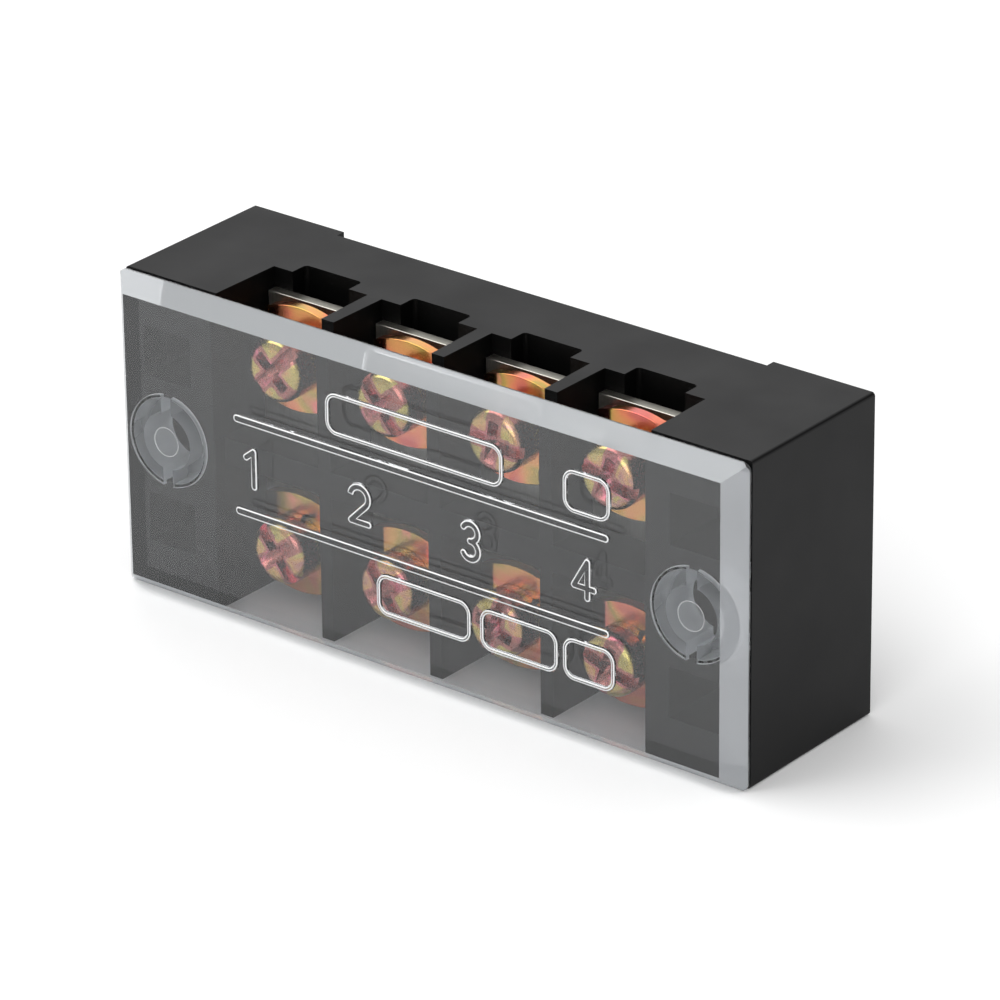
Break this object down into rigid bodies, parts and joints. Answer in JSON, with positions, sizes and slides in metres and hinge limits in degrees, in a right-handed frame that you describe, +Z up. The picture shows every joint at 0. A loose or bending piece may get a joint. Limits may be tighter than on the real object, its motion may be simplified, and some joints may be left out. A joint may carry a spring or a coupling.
{
  "type": "barrier terminal strip",
  "caption": "Moulded terminal strip with walled bays, two rows of sprung clamp screws on shared conductor plates, and a clear bevelled push-on cover with raised numbers.",
  "frame": {"origin": "middle of the mounting plane, halfway between the two mounting holes", "axes": "+X along the strip, +Y out of the mounting face into the panel, +Z up across the two rows; the cover faces -Y"},
  "size_m": [0.0804, 0.0233, 0.0356],
  "materials": {
    "housing": "black moulded phenolic or polyamide, satin",
    "cover": "clear slightly milky moulded polycarbonate, polished",
    "conductor": "tin-plated brass, stamped edges",
    "clamp": "yellow passivated zinc, iridescent",
    "screw": "yellow passivated zinc, iridescent pink and olive"
  },
  "bodies": {
    "housing": {"body": "housing", "conductor_1": "conductor", "conductor_2": "conductor", "conductor_3": "conductor", "conductor_4": "conductor"},
    "cover": {"cover": "cover"},
    "clamp_upper_1": {"clamp_upper_1": "clamp", "spring_washer_upper_1": "screw"},
    "screw_upper_1": {"screw_upper_1": "screw"},
    "clamp_upper_2": {"clamp_upper_2": "clamp", "spring_washer_upper_2": "screw"},
    "screw_upper_2": {"screw_upper_2": "screw"},
    "clamp_upper_3": {"clamp_upper_3": "clamp", "spring_washer_upper_3": "screw"},
    "screw_upper_3": {"screw_upper_3": "screw"},
    "clamp_upper_4": {"clamp_upper_4": "clamp", "spring_washer_upper_4": "screw"},
    "screw_upper_4": {"screw_upper_4": "screw"},
    "clamp_lower_1": {"clamp_lower_1": "clamp", "spring_washer_lower_1": "screw"},
    "screw_lower_1": {"screw_lower_1": "screw"},
    "clamp_lower_2": {"clamp_lower_2": "clamp", "spring_washer_lower_2": "screw"},
    "screw_lower_2": {"screw_lower_2": "screw"},
    "clamp_lower_3": {"clamp_lower_3": "clamp", "spring_washer_lower_3": "screw"},
    "screw_lower_3": {"screw_lower_3": "screw"},
    "clamp_lower_4": {"clamp_lower_4": "clamp", "spring_washer_lower_4": "screw"},
    "screw_lower_4": {"screw_lower_4": "screw"}
  },
  "joints": [
    {"name": "cover_lift", "type": "slide", "parent": "housing", "child": "cover", "axis": [0, -1, 0], "range_m": [0, 0.015]},
    {"name": "clamp_upper_1_slide", "type": "slide", "parent": "housing", "child": "clamp_upper_1", "axis": [0, 1, 0], "range_m": [-0.00175, 0.00035]},
    {"name": "screw_upper_1_turn", "type": "hinge", "parent": "clamp_upper_1", "child": "screw_upper_1", "pos_m": [-0.02142, -0.01481, 0.0103], "axis": [0, 1, 0], "range_deg": [-900, 180]},
    {"name": "clamp_upper_2_slide", "type": "slide", "parent": "housing", "child": "clamp_upper_2", "axis": [0, 1, 0], "range_m": [-0.00175, 0.00035]},
    {"name": "screw_upper_2_turn", "type": "hinge", "parent": "clamp_upper_2", "child": "screw_upper_2", "pos_m": [-0.00714, -0.01481, 0.0103], "axis": [0, 1, 0], "range_deg": [-900, 180]},
    {"name": "clamp_upper_3_slide", "type": "slide", "parent": "housing", "child": "clamp_upper_3", "axis": [0, 1, 0], "range_m": [-0.00175, 0.00035]},
    {"name": "screw_upper_3_turn", "type": "hinge", "parent": "clamp_upper_3", "child": "screw_upper_3", "pos_m": [0.00714, -0.01481, 0.0103], "axis": [0, 1, 0], "range_deg": [-900, 180]},
    {"name": "clamp_upper_4_slide", "type": "slide", "parent": "housing", "child": "clamp_upper_4", "axis": [0, 1, 0], "range_m": [-0.00175, 0.00035]},
    {"name": "screw_upper_4_turn", "type": "hinge", "parent": "clamp_upper_4", "child": "screw_upper_4", "pos_m": [0.02142, -0.01481, 0.0103], "axis": [0, 1, 0], "range_deg": [-900, 180]},
    {"name": "clamp_lower_1_slide", "type": "slide", "parent": "housing", "child": "clamp_lower_1", "axis": [0, 1, 0], "range_m": [-0.00175, 0.00035]},
    {"name": "screw_lower_1_turn", "type": "hinge", "parent": "clamp_lower_1", "child": "screw_lower_1", "pos_m": [-0.02142, -0.01481, -0.0103], "axis": [0, 1, 0], "range_deg": [-900, 180]},
    {"name": "clamp_lower_2_slide", "type": "slide", "parent": "housing", "child": "clamp_lower_2", "axis": [0, 1, 0], "range_m": [-0.00175, 0.00035]},
    {"name": "screw_lower_2_turn", "type": "hinge", "parent": "clamp_lower_2", "child": "screw_lower_2", "pos_m": [-0.00714, -0.01481, -0.0103], "axis": [0, 1, 0], "range_deg": [-900, 180]},
    {"name": "clamp_lower_3_slide", "type": "slide", "parent": "housing", "child": "clamp_lower_3", "axis": [0, 1, 0], "range_m": [-0.00175, 0.00035]},
    {"name": "screw_lower_3_turn", "type": "hinge", "parent": "clamp_lower_3", "child": "screw_lower_3", "pos_m": [0.00714, -0.01481, -0.0103], "axis": [0, 1, 0], "range_deg": [-900, 180]},
    {"name": "clamp_lower_4_slide", "type": "slide", "parent": "housing", "child": "clamp_lower_4", "axis": [0, 1, 0], "range_m": [-0.00175, 0.00035]},
    {"name": "screw_lower_4_turn", "type": "hinge", "parent": "clamp_lower_4", "child": "screw_lower_4", "pos_m": [0.02142, -0.01481, -0.0103], "axis": [0, 1, 0], "range_deg": [-900, 180]}
  ],
  "couplings": [
    {"joint": "screw_upper_1_turn", "follows": "clamp_upper_1_slide", "rad_per_m": 8976},
    {"joint": "screw_upper_2_turn", "follows": "clamp_upper_2_slide", "rad_per_m": 8976},
    {"joint": "screw_upper_3_turn", "follows": "clamp_upper_3_slide", "rad_per_m": 8976},
    {"joint": "screw_upper_4_turn", "follows": "clamp_upper_4_slide", "rad_per_m": 8976},
    {"joint": "screw_lower_1_turn", "follows": "clamp_lower_1_slide", "rad_per_m": 8976},
    {"joint": "screw_lower_2_turn", "follows": "clamp_lower_2_slide", "rad_per_m": 8976},
    {"joint": "screw_lower_3_turn", "follows": "clamp_lower_3_slide", "rad_per_m": 8976},
    {"joint": "screw_lower_4_turn", "follows": "clamp_lower_4_slide", "rad_per_m": 8976}
  ]
}
